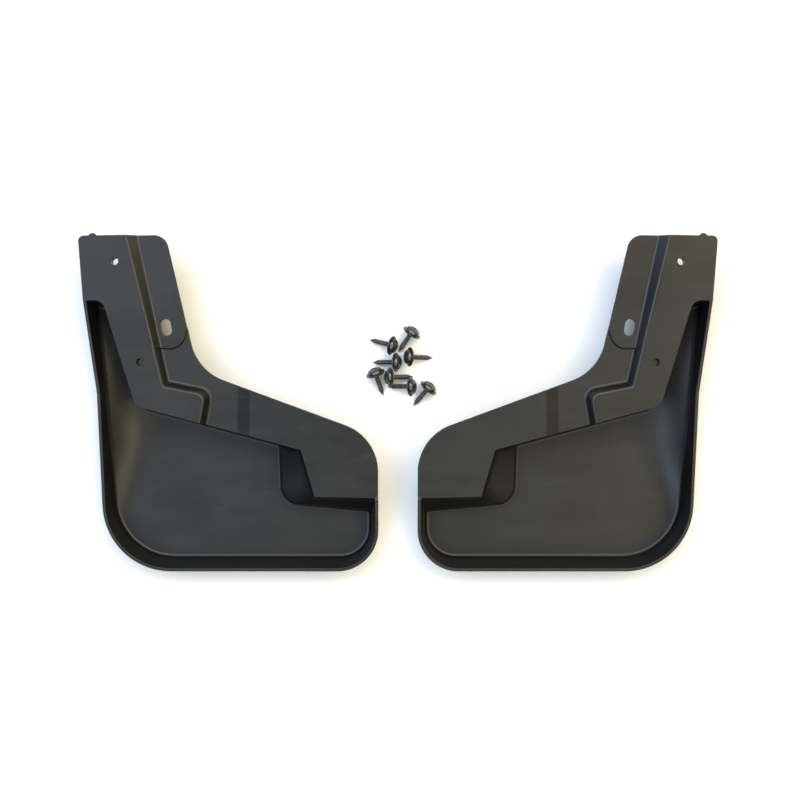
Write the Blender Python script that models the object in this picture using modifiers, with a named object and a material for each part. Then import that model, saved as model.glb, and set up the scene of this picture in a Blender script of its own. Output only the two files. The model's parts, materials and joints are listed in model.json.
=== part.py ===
"""Mud flap kit: a handed pair of moulded splash guards and their eight washer-head screws.

Each flap lies hollow side up, its flat floor on the table. A flap is drawn in its own plan
coordinates, in millimetres: u runs outwards from the plane between the two flaps, v runs up
the plan, and height is measured from the table.
"""
import math

import bmesh
import bpy
from mathutils import Matrix, Vector
from mathutils.geometry import delaunay_2d_cdt

MM = 0.001

# ---------------------------------------------------------------- driving dimensions (mm)
PLAN_CENTRE_V = 1.2  # the plan's v at the kit's middle
SHEET = 2.8  # moulded wall thickness
PAD_TOP = 45.0  # raised screw pad
TAB_TOP = 39.5  # slotted tab
PLATE_TOP = 38.0  # long mounting plate
RIM_TOP = 27.0  # free rim of the dish
FLOOR_TOP = SHEET  # the floor's flat middle rests on the table
SHELF_HIGH = 34.0  # shelf under the plate's square corner, at the plate
SHELF_LOW = 19.0  # the same shelf at its outer edge
RIM_EDGE = 1.5  # upright outer edge of the free rim

WALL_SHIFT = 2.3  # how far the back of a steep wall lies behind its front
STEP_SHIFT = 1.2  # the same for the sloping step beside the pad
ARC_STEP = math.radians(15)
STRAIGHT = math.radians(7)  # bends gentler than this keep a simple corner
LEAST_RADIUS = 0.4
SAME_POINT = 0.05
PARALLEL = 0.01
END_SLACK = 0.001  # share of a line that a landing point may lie past its ends
TAB_SHIFT = 1.0
SHELF_SHIFT = 2.0
PLATE_CORNERS = 8  # the opening's first corners run along the pad and the plate
PLATE_SIDE = 200.0  # the outer rim lies beyond this u
CLIMB_SIDE = 245.0
TAB_SIDE = 210.0  # the tab's free edge lies within this u
TAB_EDGE_LOW = 50.0
TOP_EDGE_V = 130.0  # the silhouette's top edge lies beyond this v
NEAR = 0.01
CORNER_SLACK = 0.3
CLIMB_LOW, CLIMB_HIGH = 10.0, 85.3  # v where the outer rim starts and ends its climb
INNER_STEP_HIGH, INNER_STEP_LOW, INNER_CLIMB_LOW = -76.5, -79.5, -95.0
INNER_STEP_TOP = 31.0
EDGE_CHANGE = 8.0
SHELF_START = 81.3
SHELF_INNER_TOP = -77.95
INSIDE_ONLY = 1
CDT_EPSILON = 1e-4

RAMP_POINT = (212.3, -21.2)  # a point on the line where the floor bends up
RAMP_NORMAL = (0.888, 0.460)
RAMP_SLOPE = 0.30
RAMP_BEND = 20.0  # half width of the bend
RAMP_RUN = 40.0  # the ramp levels off after this distance
RAMP_END_BEND = 14.0
COVE_CENTRE = (186.3, -78.6)  # centre of the floor's outer lower corner
COVE_RADIUS = 50.0
COVE_LEAN = 0.078  # the outer wall's foot leans out by this above the corner
COVE_SLOPE = 0.55  # the floor's slope where the cove meets the outer wall
COVE_LOW, COVE_HIGH = -124.0, -28.0  # v where the cove starts to widen and is widest
COVE_WIDE = 26.0
FLOOR_GRID = 12.0
GRID_INNER, GRID_OUTER = 180, 250  # u and v limits of the curved part of the floor
GRID_BOTTOM, GRID_TOP = -130, 90

HOLES = ((231.5, 117.5), (210.5, 34.9))
HOLE_RADIUS = 3.2
BOSS_RADIUS = 5.6
BOSS_BOTTOM = 33.0
BOSS_TOP = 43.6  # hidden inside the pad's thickness
SLOT_CENTRE = (190.0, 63.7)
SLOT_SIZE = (8.2, 13.8)
SLOT_TURN = math.radians(-9)
CUT_CLEARANCE = 2.0  # cutters run on past the faces they open
RIB_OVERLAP = 1.0
CYLINDER_SIDES = 24
MERGE_DISTANCE = 1e-6
NIB_CENTRE = (249.5, 136.9)
NIB_RADIUS = 3.7
NIB_LOW, NIB_HIGH = 42.6, 44.6
RIB_THICK = 1.8
RIB_BOTTOM = 36.0
EDGE_TURN = math.radians(14.9)  # the plate's lower edge, from the inner end to the pad
GUSSET_THICK = 2.0
GUSSET_ROOT = 1.0
GUSSET_TOP, GUSSET_LOW = 36.4, 16.0
GUSSETS = (((146.0, -17.0), 30.0), ((112.0, -26.0), 22.0), ((90.0, -31.9), 15.0))  # foot, reach

SCREW_SIDES = 12
WASHER_SIDES = 16
HEAD_RADIUS = 6.3
HEAD_HEIGHT = 4.0
NECK_RADIUS = 1.55
THREAD_RADIUS = 2.1
THREAD_PITCH = 1.4
SHANK_LENGTH = 22.0
THREAD_START = 2.2
TAPER_START = 17.0
WASHER_RADIUS = 8.2
WASHER_THICK = 1.2
WASHER_HOLE = 1.8
WASHER_PLAY = 0.2  # end play between the washer and the head's underside

DOME_STEPS = 4
HEAD_BRIM = 0.7
POINT_RADIUS = 0.25
RECESS_WIDTH, RECESS_LENGTH, RECESS_DEPTH, RECESS_TAPER = 1.3, 6.0, 2.6, 0.45

# name, tip (X, Y), heading of the tip in plan, tilt and roll (degrees), tip's height
SCREW_POSES = (
    ("1", (0.3, 43.6), -125.0, 21.2, 20.0, 0.25),
    ("2", (-24.3, 54.2), 164.5, 21.2, 50.0, 0.25),
    ("3", (29.6, 38.8), -1.6, 21.2, 10.0, 0.25),
    ("4", (-21.5, 34.9), 179.5, 21.2, 65.0, 0.25),
    ("5", (-12.4, 6.7), -70.5, 21.2, 35.0, 0.25),
    ("6", (13.0, 22.8), 1.7, 21.2, 80.0, 0.25),
    ("7", (-9.0, 14.3), 180.0, 21.2, 5.0, 0.25),
    ("8", (13.0, -2.1), -130.0, 21.2, 40.0, 0.25),
)


# ---------------------------------------------------------------- plan outlines of one flap
# each corner is (u, v, fillet radius); closed outlines run anticlockwise
SILHOUETTE = (
    (261.5, 138.4, 4.5),
    (222.6, 139.0, 0),
    (213.6, 139.2, 0),
    (190.8, 139.6, 12),
    (173.0, 63.5, 0),
    (172.4, 61.0, 0),
    (164.6, 28.2, 42),
    (16.3, -26.4, 41),
    (16.3, -76.5, 0),
    (16.3, -79.5, 0),
    (16.3, -95.0, 0),
    (16.3, -138.2, 34),
    (242.7, -138.2, 57),
    (250.0, 10.0, 0),
    (254.0, 50.0, 0),
    (257.2, 85.3, 0),
)
OPENING = (
    (254.5, 85.3, 1.0),
    (241.3, 85.3, 9),
    (214.4, -0.9, 12),
    (161.7, -15.2, 0),
    (157.6, -16.3, 0),
    (79.9, -37.0, 1.0),
    (68.5, -75.4, 1.0),
    (19.0, -76.5, 0),
    (19.0, -79.5, 0),
    (19.0, -95.0, 0),
    (19.0, -135.5, 31.5),
    (240.2, -135.5, 54.5),
    (247.3, 10.0, 0),
    (251.3, 50.0, 0),
)
WALL_FOOT = (
    (250.6, 82.6, 1.0),
    (242.8, 82.6, 7),
    (216.5, -2.0, 14),
    (100.4, -33.3, 0),
    (98.8, -33.7, 0),
    (81.2, -38.4, 1.0),
    (69.7, -77.0, 1.0),
    (19.8, -78.0, 0),
    (21.4, -88.5, 0),
    (23.6, -90.2, 0),
    (23.6, -128.6, 25),
    (236.3, -128.6, 50),
    (243.2, 10.0, 0),
    (247.0, 50.0, 0),
)
SHELF_EDGE = ((98.8, -33.7, 0), (97.0, -81.6, 15), (21.4, -88.5, 0))
SHELF_FOOT = ((100.4, -33.3, 0), (98.6, -83.2, 16.5), (23.6, -90.2, 0))
STEP_TOP = ((222.6, 139.0, 0), (191.6, 15.8, 2), (157.0, 9.0, 8), (161.7, -15.2, 0))
STEP_FOOT = ((213.6, 139.2, 0), (188.4, 18.6, 2), (152.9, 11.9, 9), (157.6, -16.3, 0))
TAB_END = ((194.7, 46.9, 0), (178.0, 46.2, 13), (173.0, 63.5, 0))
TAB_FOOT = ((194.5, 46.0, 0), (177.4, 45.2, 13), (172.4, 61.0, 0))


def lerp(low, high, t):
    """A value between low and high, held at the ends."""
    return low + (high - low) * min(max(t, 0.0), 1.0)


def meet(a, b, c, d):
    """Where the line through a and b crosses the line through c and d."""
    turn = (b - a).cross(d - c)
    return a + (b - a) * ((c - a).cross(d - c) / turn)


def shifted(corners, shift, closed):
    """The corners of an outline that moves to the right of its travel by shift."""
    points = [Vector(corner[:2]) for corner in corners]
    edges = []
    for a, b in zip(points, points[1:] + points[:1] if closed else points[1:]):
        side = Vector((b.y - a.y, a.x - b.x)).normalized() * shift
        edges.append((a + side, b + side))
    moved = []
    for i in range(len(points)):
        if not closed and i in (0, len(points) - 1):
            moved.append(edges[0][0] if i == 0 else edges[-1][1])
            continue
        before, after = edges[i - 1], edges[i]
        turn = (before[1] - before[0]).angle(after[1] - after[0])
        nearly_straight = turn < STRAIGHT
        moved.append((before[1] + after[0]) / 2 if nearly_straight else meet(*before, *after))
    return moved


def fillet(corner, to_last, to_next, radius):
    """The arc that rounds a corner."""
    half = to_last.angle(to_next) / 2
    start = corner + to_last * (radius / math.tan(half))
    centre = corner + (to_last + to_next).normalized() * (radius / math.sin(half))
    sweep = math.pi - 2 * half
    steps = max(round(sweep / ARC_STEP), 1)
    if to_last.cross(to_next) > 0:
        sweep = -sweep
    turns = [Matrix.Rotation(sweep * k / steps, 2) for k in range(steps + 1)]
    return [centre + turn @ (start - centre) for turn in turns]


def outline(corners, shift=0.0, closed=True):
    """Points along an outline with rounded corners, moved to the right by shift."""
    points = shifted(corners, shift, closed)
    drawn = []
    for i, here in enumerate(points):
        radius = corners[i][2]
        path_end = not closed and i in (0, len(points) - 1)
        if radius == 0 or path_end:
            drawn.append(here)
            continue
        to_last = (points[i - 1] - here).normalized()
        to_next = (points[(i + 1) % len(points)] - here).normalized()
        turns_left = to_last.cross(to_next) < 0
        radius += shift if turns_left else -shift
        drawn += fillet(here, to_last, to_next, max(radius, LEAST_RADIUS))
    return drawn


def land(path, end, target):
    """Carry one end of an open path onto a target line, which gains that point."""
    near, beyond = (path[1], path[0]) if end == 0 else (path[-2], path[-1])
    best = None
    for i, c in enumerate(target):
        d = target[(i + 1) % len(target)]
        if abs((beyond - near).normalized().cross((d - c).normalized())) < PARALLEL:
            continue
        point = meet(near, beyond, c, d)
        along = (point - c).dot(d - c) / (d - c).length_squared
        if -END_SLACK <= along <= 1 + END_SLACK and (not best or (point - beyond).length < best[0]):
            best = ((point - beyond).length, i, point)
    _, i, point = best
    for known in (target[i], target[(i + 1) % len(target)]):
        if (known - point).length < SAME_POINT:
            path[end] = known
            return known
    path[end] = point
    target.insert(i + 1, point)
    return point


def inside(p, loop):
    """True where a point lies inside a closed loop."""
    odd = False
    for a, b in zip(loop, loop[1:] + loop[:1]):
        if (a.y > p.y) != (b.y > p.y) and p.x < a.x + (b.x - a.x) * (p.y - a.y) / (b.y - a.y):
            odd = not odd
    return odd


# ---------------------------------------------------------------- heights
def soft_ramp(distance, bend):
    """Zero before the bend, the distance itself after it, and a smooth curve between."""
    if abs(distance) < bend:
        return (distance + bend) ** 2 / (4 * bend)
    return max(distance, 0.0)


def cove_rise(p):
    """The hollow curve that carries the floor up to the outer wall and round its corner."""
    u, v = p.x - COVE_CENTRE[0], p.y - COVE_CENTRE[1]
    if u < 0:
        return 0.0
    from_wall = COVE_RADIUS - (math.hypot(u, v) if v < 0 else u - v * COVE_LEAN)
    share = min(max((p.y - COVE_LOW) / (COVE_HIGH - COVE_LOW), 0.0), 1.0)
    reach = max(COVE_WIDE * share - max(from_wall, 0.0), 0.0)
    return COVE_SLOPE * reach**2 / (2 * COVE_WIDE)


def floor_top(p):
    """The dish floor: flat in the middle, rising to the outer wall."""
    along = (p.x - RAMP_POINT[0]) * RAMP_NORMAL[0] + (p.y - RAMP_POINT[1]) * RAMP_NORMAL[1]
    rise = soft_ramp(along, RAMP_BEND) - soft_ramp(along - RAMP_RUN, RAMP_END_BEND)
    return FLOOR_TOP + RAMP_SLOPE * rise + cove_rise(p)


def rim_top(p):
    """The rim: level round the dish, climbing to the pad outside and to the plate inside."""
    if p.x > PLATE_SIDE:
        return lerp(RIM_TOP, PAD_TOP, (p.y - CLIMB_LOW) / (CLIMB_HIGH - CLIMB_LOW))
    if p.y > INNER_STEP_LOW:
        step = (p.y - INNER_STEP_LOW) / (INNER_STEP_HIGH - INNER_STEP_LOW)
        return lerp(INNER_STEP_TOP, PLATE_TOP, step)
    return lerp(RIM_TOP, INNER_STEP_TOP, (p.y - INNER_CLIMB_LOW) / (INNER_STEP_LOW - INNER_CLIMB_LOW))


def between(p, axis, low, high, z_low, z_high):
    """A height that changes from z_low to z_high between two points of a line."""
    return lerp(z_low, z_high, (p[axis] - low[axis]) / (high[axis] - low[axis]))


# ---------------------------------------------------------------- the two skins of a flap
class Creases:
    """The crease lines of one side of a flap, with the height along each."""

    def __init__(self, silhouette, back):
        wall = WALL_SHIFT if back else 0.0
        step = -STEP_SHIFT if back else 0.0
        tab = TAB_SHIFT if back else 0.0
        self.drop = SHEET if back else 0.0
        self.back = back
        self.silhouette = silhouette
        if back:
            self.opening = outline(OPENING[:PLATE_CORNERS], wall, closed=False)
            self.outer_end = land(self.opening, 0, silhouette)
            self.inner_end = land(self.opening, -1, silhouette)
        else:
            self.opening = outline(OPENING)
        self.foot = outline(WALL_FOOT, wall)
        self.shelf_edge = outline(SHELF_EDGE, SHELF_SHIFT if back else 0.0, closed=False)
        self.shelf_foot = outline(SHELF_FOOT, SHELF_SHIFT if back else 0.0, closed=False)
        self.shelf_lands = [land(self.shelf_edge, end, self.foot) for end in (0, -1)]
        self.floor_lands = [land(self.shelf_foot, end, self.foot) for end in (0, -1)]
        self.step_top = outline(STEP_TOP, step, closed=False)
        self.step_foot = outline(STEP_FOOT, step, closed=False)
        self.top_lands = [land(self.step_top, 0, silhouette), land(self.step_top, -1, self.opening)]
        self.foot_lands = [land(self.step_foot, 0, silhouette), land(self.step_foot, -1, self.opening)]
        self.tab_end = outline(TAB_END, tab, closed=False)
        self.tab_foot = outline(TAB_FOOT, tab, closed=False)
        self.tab_lands = [land(self.tab_end, 0, self.step_foot), land(self.tab_end, -1, silhouette)]
        self.plate_lands = [
            land(self.tab_foot, 0, self.step_foot),
            land(self.tab_foot, -1, silhouette),
        ]

    def silhouette_height(self, p):
        if TAB_EDGE_LOW < p.y < TOP_EDGE_V and p.x < TAB_SIDE:
            return between(p, 1, self.plate_lands[1], self.tab_lands[1], PLATE_TOP, TAB_TOP)
        if p.y > TOP_EDGE_V:
            return between(p, 0, self.foot_lands[0], self.top_lands[0], TAB_TOP, PAD_TOP)
        if p.x > PLATE_SIDE or p.y < INNER_STEP_HIGH:
            return rim_top(p)
        return PLATE_TOP

    def silhouette_drop(self, p):
        """How far the back of the silhouette's edge lies below its front."""
        end = self.outer_end if p.x > PLATE_SIDE else self.inner_end
        if p.y > end.y:
            return SHEET
        return lerp(SHEET, RIM_EDGE, (end.y - p.y) / EDGE_CHANGE)

    def opening_height(self, p):
        if p.y < INNER_STEP_HIGH + CORNER_SLACK or p.x > CLIMB_SIDE:
            return rim_top(p)
        return between(p, 0, self.foot_lands[1], self.top_lands[1], PLATE_TOP, PAD_TOP)

    def foot_height(self, p):
        """The foot of the walls: on the shelf beside the plate's corner, else on the floor."""
        shelf, floor = self.shelf_lands, self.floor_lands
        if p.x > floor[0].x - NEAR or p.y < floor[1].y + NEAR:
            return floor_top(p)
        if p.x > shelf[0].x:
            return between(p, 0, floor[0], shelf[0], FLOOR_TOP, SHELF_LOW)
        if p.x > SHELF_START:
            return lerp(SHELF_HIGH, SHELF_LOW, (p.x - SHELF_START) / (shelf[0].x - SHELF_START))
        if p.y > SHELF_INNER_TOP:
            return SHELF_HIGH
        if p.y > shelf[1].y:
            return lerp(SHELF_LOW, SHELF_HIGH, (p.y - shelf[1].y) / (SHELF_INNER_TOP - shelf[1].y))
        return between(p, 1, floor[1], shelf[1], FLOOR_TOP, SHELF_LOW)

    def step_foot_height(self, p):
        """The foot of the pad's step stands on the tab, and below the tab on the plate."""
        return between(p, 1, self.plate_lands[0], self.tab_lands[0], PLATE_TOP, TAB_TOP)

    def lines(self):
        """Each line, whether it is closed, and its height."""
        return (
            (self.silhouette, True, self.silhouette_height),
            (self.opening, not self.back, self.opening_height),
            (self.foot, True, self.foot_height),
            (self.shelf_edge, False, lambda p: SHELF_LOW),
            (self.shelf_foot, False, lambda p: FLOOR_TOP),
            (self.step_top, False, lambda p: PAD_TOP),
            (self.step_foot, False, self.step_foot_height),
            (self.tab_end, False, lambda p: TAB_TOP),
            (self.tab_foot, False, lambda p: PLATE_TOP),
        )

    def floor_points(self):
        """A square grid of points over the curved part of the floor."""
        points = []
        for i in range(int(GRID_INNER / FLOOR_GRID), int(GRID_OUTER / FLOOR_GRID)):
            for j in range(int(GRID_BOTTOM / FLOOR_GRID), int(GRID_TOP / FLOOR_GRID)):
                p = Vector((i * FLOOR_GRID, j * FLOOR_GRID))
                clear = all((p - q).length > FLOOR_GRID / 3 for q in self.foot)
                if floor_top(p) > FLOOR_TOP and clear and inside(p, self.foot):
                    points.append(p)
        return points


def add_skin(mesh, creases):
    """Add one triangulated side to a mesh and return its silhouette vertices in order."""
    flat, heights, edges = [], [], []
    for points, closed, height in creases.lines():
        first = len(flat)
        flat += points
        heights += [height(p) - creases.drop for p in points]
        if points is creases.silhouette and creases.back:
            heights = [height(p) - creases.silhouette_drop(p) for p in points]
        edges += [(k, k + 1) for k in range(first, len(flat) - 1)]
        if closed:
            edges.append((len(flat) - 1, first))
    loose = creases.floor_points()
    flat += loose
    heights += [floor_top(p) - creases.drop for p in loose]
    found, _, faces, sources, _, _ = delaunay_2d_cdt(flat, edges, [], INSIDE_ONLY, CDT_EPSILON, True)
    verts, by_source = [], {}
    for p, origins in zip(found, sources):
        verts.append(mesh.verts.new((p.x * MM, p.y * MM, heights[origins[0]] * MM)))
        by_source.update((origin, verts[-1]) for origin in origins)
    for face in faces:
        middle = sum((found[k] for k in face), Vector((0, 0))) / len(face)
        if inside(middle, creases.silhouette):
            corners = [verts[k] for k in face]
            mesh.faces.new(reversed(corners) if creases.back else corners)
    return [by_source[k] for k in range(len(creases.silhouette))]


def flap_mesh():
    """The closed moulding: an upper skin, a lower skin and the edge that joins them."""
    silhouette = outline(SILHOUETTE)
    back = Creases(silhouette, back=True)
    front = Creases(silhouette, back=False)
    mesh = bmesh.new()
    upper, lower = add_skin(mesh, front), add_skin(mesh, back)
    for k, here in enumerate(upper):
        following = (k + 1) % len(upper)
        mesh.faces.new((here, lower[k], lower[following], upper[following]))
    bmesh.ops.recalc_face_normals(mesh, faces=mesh.faces)
    return mesh


# ---------------------------------------------------------------- objects
def collection(name):
    made = bpy.data.collections.new(name)
    bpy.context.scene.collection.children.link(made)
    return made


def material(name, colour, roughness, metallic=0.0):
    """A plain Principled material."""
    made = bpy.data.materials.new(name)
    made.use_nodes = True
    shader = made.node_tree.nodes["Principled BSDF"]
    shader.inputs["Base Color"].default_value = (*colour, 1.0)
    shader.inputs["Roughness"].default_value = roughness
    shader.inputs["Metallic"].default_value = metallic
    return made


def add_object(name, mesh, group, finish=None):
    made = bpy.data.objects.new(name, mesh)
    group.objects.link(made)
    if finish:
        mesh.materials.append(finish)
    return made


def to_mesh(name, built):
    mesh = bpy.data.meshes.new(name)
    built.to_mesh(mesh)
    built.free()
    return mesh


def cylinder(name, centre, radius, low, high, side, group):
    """An upright cylinder tool between two heights, on one side's flap."""
    u, v = centre
    bpy.ops.mesh.primitive_cylinder_add(
        vertices=CYLINDER_SIDES,
        radius=radius * MM,
        depth=(high - low) * MM,
        location=(side * u * MM, (v - PLAN_CENTRE_V) * MM, (low + high) / 2 * MM),
    )
    return as_tool(name, group)


def block(name, centre, size, low, high, turn, side, group):
    """An upright box tool, turned in plan, on one side's flap."""
    u, v = centre
    bpy.ops.mesh.primitive_cube_add(
        size=1,
        location=(side * u * MM, (v - PLAN_CENTRE_V) * MM, (low + high) / 2 * MM),
        rotation=(0, 0, side * turn),
        scale=(size[0] * MM, size[1] * MM, (high - low) * MM),
    )
    return as_tool(name, group)


def as_tool(name, group):
    """Move the newest object to the tools, out of the render."""
    tool = bpy.context.active_object
    tool.name = name
    for owner in tool.users_collection:
        owner.objects.unlink(tool)
    group.objects.link(tool)
    tool.hide_render = True
    tool.display_type = "WIRE"
    return tool


def combine(part, tool, operation):
    """A Boolean of a part with one tool."""
    step = part.modifiers.new(tool.name, "BOOLEAN")
    step.operation = operation
    step.object = tool


def gusset(name, foot, reach, side, group):
    """A triangular web under the plate, from the dish wall out towards the free edge."""
    u, v = foot
    across = Vector((math.cos(EDGE_TURN), math.sin(EDGE_TURN)))
    out = Vector((-across.y, across.x))
    profile = ((-GUSSET_ROOT, GUSSET_TOP), (reach, GUSSET_TOP), (-GUSSET_ROOT, GUSSET_LOW))
    built = bmesh.new()
    ends = []
    for half in (-GUSSET_THICK / 2, GUSSET_THICK / 2):
        ring = []
        for distance, height in profile:
            at = Vector((u, v)) + out * distance + across * half
            ring.append(built.verts.new((side * at.x * MM, (at.y - PLAN_CENTRE_V) * MM, height * MM)))
        ends.append(ring)
    built.faces.new(ends[0])
    built.faces.new(reversed(ends[1]))
    for k in range(len(profile)):
        j = (k + 1) % len(profile)
        built.faces.new((ends[0][k], ends[1][k], ends[1][j], ends[0][j]))
    bmesh.ops.recalc_face_normals(built, faces=built.faces)
    tool = add_object(name, to_mesh(name, built), group)
    tool.hide_render = True
    tool.display_type = "WIRE"
    return tool


def make_flap(name, side, finish, parts, tools):
    """One flap; side is 1 for the right one and -1 for its mirror image on the left."""
    built = flap_mesh()
    to_middle = Matrix.Translation((0, -PLAN_CENTRE_V * MM, 0))
    bmesh.ops.transform(built, matrix=to_middle, verts=built.verts)
    if side < 0:
        bmesh.ops.transform(built, matrix=Matrix.Scale(-1, 4, (1, 0, 0)), verts=built.verts)
        bmesh.ops.reverse_faces(built, faces=built.faces)
    flap = add_object(name, to_mesh(name, built), parts, finish)
    added = [
        cylinder(f"{name}_boss_{k}", hole, BOSS_RADIUS, BOSS_BOTTOM, BOSS_TOP, side, tools)
        for k, hole in enumerate(HOLES, 1)
    ]
    added.append(cylinder(f"{name}_nib", NIB_CENTRE, NIB_RADIUS, NIB_LOW, NIB_HIGH, side, tools))
    along = Vector(HOLES[0]) - Vector(HOLES[1])
    middle = (Vector(HOLES[0]) + Vector(HOLES[1])) / 2
    turn = math.atan2(along.y, along.x)
    length = along.length - 2 * (BOSS_RADIUS - RIB_OVERLAP)
    added.append(
        block(f"{name}_rib", middle, (length, RIB_THICK), RIB_BOTTOM, BOSS_TOP, turn, side, tools)
    )
    for k, (foot, reach) in enumerate(GUSSETS, 1):
        added.append(gusset(f"{name}_gusset_{k}", foot, reach, side, tools))
    for tool in added:
        combine(flap, tool, "UNION")
    for k, hole in enumerate(HOLES, 1):
        low, high = BOSS_BOTTOM - CUT_CLEARANCE, PAD_TOP + CUT_CLEARANCE
        bore = cylinder(f"{name}_hole_{k}", hole, HOLE_RADIUS, low, high, side, tools)
        combine(flap, bore, "DIFFERENCE")
    for tool in slot_tools(name, side, tools):
        combine(flap, tool, "DIFFERENCE")


def slot_tools(name, side, group):
    """The round-ended slot: a box with a cylinder at each end."""
    wide, long = SLOT_SIZE
    low, high = TAB_TOP - SHEET - CUT_CLEARANCE, TAB_TOP + CUT_CLEARANCE
    along = Vector((-math.sin(SLOT_TURN), math.cos(SLOT_TURN)))
    centre = Vector(SLOT_CENTRE)
    reach = (long - wide) / 2
    tools = [block(f"{name}_slot", centre, (wide, 2 * reach), low, high, SLOT_TURN, side, group)]
    for k, end in enumerate((centre + along * reach, centre - along * reach), 1):
        tools.append(cylinder(f"{name}_slot_end_{k}", end, wide / 2, low, high, side, group))
    return tools


# ---------------------------------------------------------------- screws and washers
def turned(name, profile, sides, finish, parts, ring=False):
    """A profile of (radius, height) points in millimetres, spun about Z by a Screw modifier."""
    built = bmesh.new()
    points = [built.verts.new((radius * MM, 0, height * MM)) for radius, height in profile]
    for a, b in zip(points, points[1:] + points[:1] if ring else points[1:]):
        built.edges.new((a, b))
    made = add_object(name, to_mesh(name, built), parts, finish)
    spin = made.modifiers.new("spin", "SCREW")
    spin.steps = spin.render_steps = sides
    spin.use_merge_vertices = True
    spin.merge_threshold = MERGE_DISTANCE
    return made


def screw_profile():
    """Dome, neck, ring threads and point, from the top down."""
    dome = []
    for k in range(DOME_STEPS + 1):
        turn = math.pi / 2 * k / DOME_STEPS
        height = HEAD_BRIM + (HEAD_HEIGHT - HEAD_BRIM) * math.cos(turn)
        dome.append((HEAD_RADIUS * math.sin(turn), height))
    profile = [*dome, (HEAD_RADIUS, 0), (NECK_RADIUS, 0), (NECK_RADIUS, -THREAD_START)]
    turns = int((SHANK_LENGTH - THREAD_START) / THREAD_PITCH)
    for k in range(turns):
        crest = THREAD_START + (k + 0.5) * THREAD_PITCH
        root = crest + THREAD_PITCH / 2
        profile.append((taper(THREAD_RADIUS, crest), -crest))
        profile.append((taper(NECK_RADIUS, root), -root))
    profile.append((0, -SHANK_LENGTH))
    return profile


def taper(radius, depth):
    """The shank's radius: full down to the taper, then narrowing to the point."""
    left = (SHANK_LENGTH - depth) / (SHANK_LENGTH - TAPER_START)
    return radius * min(left, 1.0) + POINT_RADIUS * max(1.0 - left, 0.0)


def washer_profile():
    """A flat ring, from its inner edge round the outside and back."""
    top = -WASHER_PLAY
    bottom = top - WASHER_THICK
    return [(WASHER_HOLE, top), (WASHER_RADIUS, top), (WASHER_RADIUS, bottom), (WASHER_HOLE, bottom)]


def recess_tools(name, holder, group):
    """The cross recess: two tapered wings."""
    tools = []
    for k, turn in enumerate((0, math.pi / 2)):
        built = bmesh.new()
        bmesh.ops.create_cube(built, size=1)
        for vert in built.verts:
            deep = vert.co.z < 0
            vert.co.x *= (RECESS_WIDTH * RECESS_TAPER if deep else RECESS_WIDTH) * MM
            vert.co.y *= (RECESS_LENGTH * RECESS_TAPER if deep else RECESS_LENGTH) * MM
            vert.co.z = (HEAD_HEIGHT - RECESS_DEPTH if deep else HEAD_HEIGHT + 1) * MM
        tool = add_object(f"{name}_recess_{k + 1}", to_mesh(f"{name}_recess", built), group)
        tool.rotation_euler.z = turn
        tool.parent = holder
        tool.hide_render = True
        tool.display_type = "WIRE"
        tools.append(tool)
    return tools


def make_screw(pose, finishes, parts, tools):
    """A screw and its captive washer, held by one empty on the screw's axis."""
    number, tip, heading, tilt, roll, lift = pose
    heading, tilt = math.radians(heading), math.radians(tilt)
    length = SHANK_LENGTH * math.cos(tilt)
    holder = bpy.data.objects.new(f"screw_{number}_axis", None)
    parts.objects.link(holder)
    holder.location = (
        (tip[0] - length * math.cos(heading)) * MM,
        (tip[1] - length * math.sin(heading)) * MM,
        (lift + SHANK_LENGTH * math.sin(tilt)) * MM,
    )
    holder.rotation_euler = (0, tilt - math.pi / 2, heading)
    screw = turned(f"screw_{number}", screw_profile(), SCREW_SIDES, finishes[0], parts)
    washer = turned(f"washer_{number}", washer_profile(), WASHER_SIDES, finishes[1], parts, ring=True)
    for piece in (screw, washer):
        piece.parent = holder
        piece.rotation_euler.z = math.radians(roll)
    for tool in recess_tools(f"screw_{number}", screw, tools):
        combine(screw, tool, "DIFFERENCE")


def main():
    for old in list(bpy.data.objects):
        bpy.data.objects.remove(old, do_unlink=True)
    parts = collection("mud_flap_kit")
    tools = collection("tools")
    plastic = material("moulded_plastic", (0.018, 0.019, 0.020), 0.48)
    steel = material("black_screw_steel", (0.012, 0.012, 0.012), 0.35, 0.6)
    washer_steel = material("black_washer_steel", (0.015, 0.014, 0.013), 0.40, 0.6)
    make_flap("left_flap", -1, plastic, parts, tools)
    make_flap("right_flap", 1, plastic, parts, tools)
    for pose in SCREW_POSES:
        make_screw(pose, (steel, washer_steel), parts, tools)


main()
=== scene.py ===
import json
import math

import bmesh
import bpy
import numpy as np
from mathutils import Matrix, Vector
from mathutils.geometry import delaunay_2d_cdt


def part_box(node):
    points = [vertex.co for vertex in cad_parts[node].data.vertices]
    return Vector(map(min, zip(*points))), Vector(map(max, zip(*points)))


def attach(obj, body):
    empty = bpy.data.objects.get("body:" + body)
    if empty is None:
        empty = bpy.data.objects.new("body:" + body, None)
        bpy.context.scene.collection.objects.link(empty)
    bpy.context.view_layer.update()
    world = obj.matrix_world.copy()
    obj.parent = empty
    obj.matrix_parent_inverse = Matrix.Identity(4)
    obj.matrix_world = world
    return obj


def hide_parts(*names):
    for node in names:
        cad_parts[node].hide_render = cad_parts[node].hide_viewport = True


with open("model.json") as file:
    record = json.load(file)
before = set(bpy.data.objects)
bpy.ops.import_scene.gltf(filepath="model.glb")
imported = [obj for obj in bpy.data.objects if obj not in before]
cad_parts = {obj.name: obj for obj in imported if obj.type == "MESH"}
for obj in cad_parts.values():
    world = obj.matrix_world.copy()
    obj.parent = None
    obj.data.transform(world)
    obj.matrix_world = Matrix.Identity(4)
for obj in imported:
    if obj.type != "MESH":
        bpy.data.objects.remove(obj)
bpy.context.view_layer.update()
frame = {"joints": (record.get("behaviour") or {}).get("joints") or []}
MM = 0.001

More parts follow.
